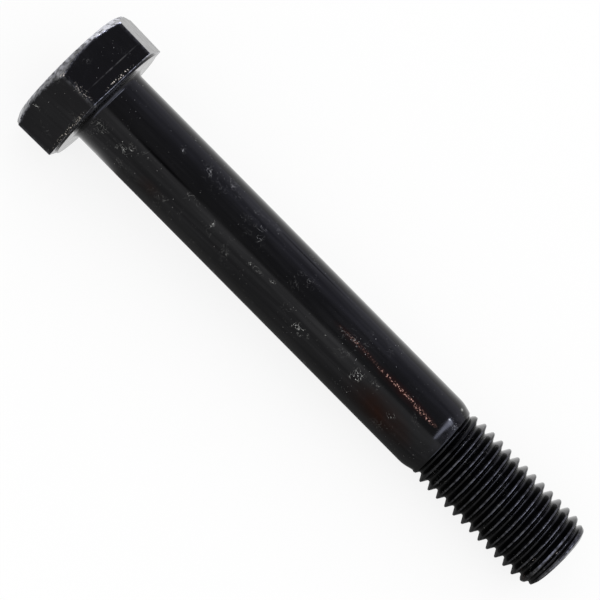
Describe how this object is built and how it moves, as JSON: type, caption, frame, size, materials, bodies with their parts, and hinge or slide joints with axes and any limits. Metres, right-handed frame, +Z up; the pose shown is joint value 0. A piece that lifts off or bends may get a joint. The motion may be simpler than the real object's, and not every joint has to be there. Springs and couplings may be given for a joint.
{
  "type": "heavy hex structural bolt",
  "caption": "Heavy hex structural bolt: washer-faced hexagon head, plain body and rolled right-hand thread up to the point, black oxide finish.",
  "frame": {"origin": "centre of the bearing face under the head, on the bolt's axis", "axes": "+Z up from the surface that the bolt lies on; +X from the head towards the point, which lies lower, so the bolt's axis runs down from +X by 2.53 degrees; +Y completes the right hand"},
  "size_m": [0.15, 0.0356, 0.0313],
  "materials": {
    "black_oxide_steel": "hot black oxide over forged and rolled steel, lightly oiled, satin"
  },
  "bodies": {
    "root": {"bolt": "black_oxide_steel"}
  },
  "joints": []
}
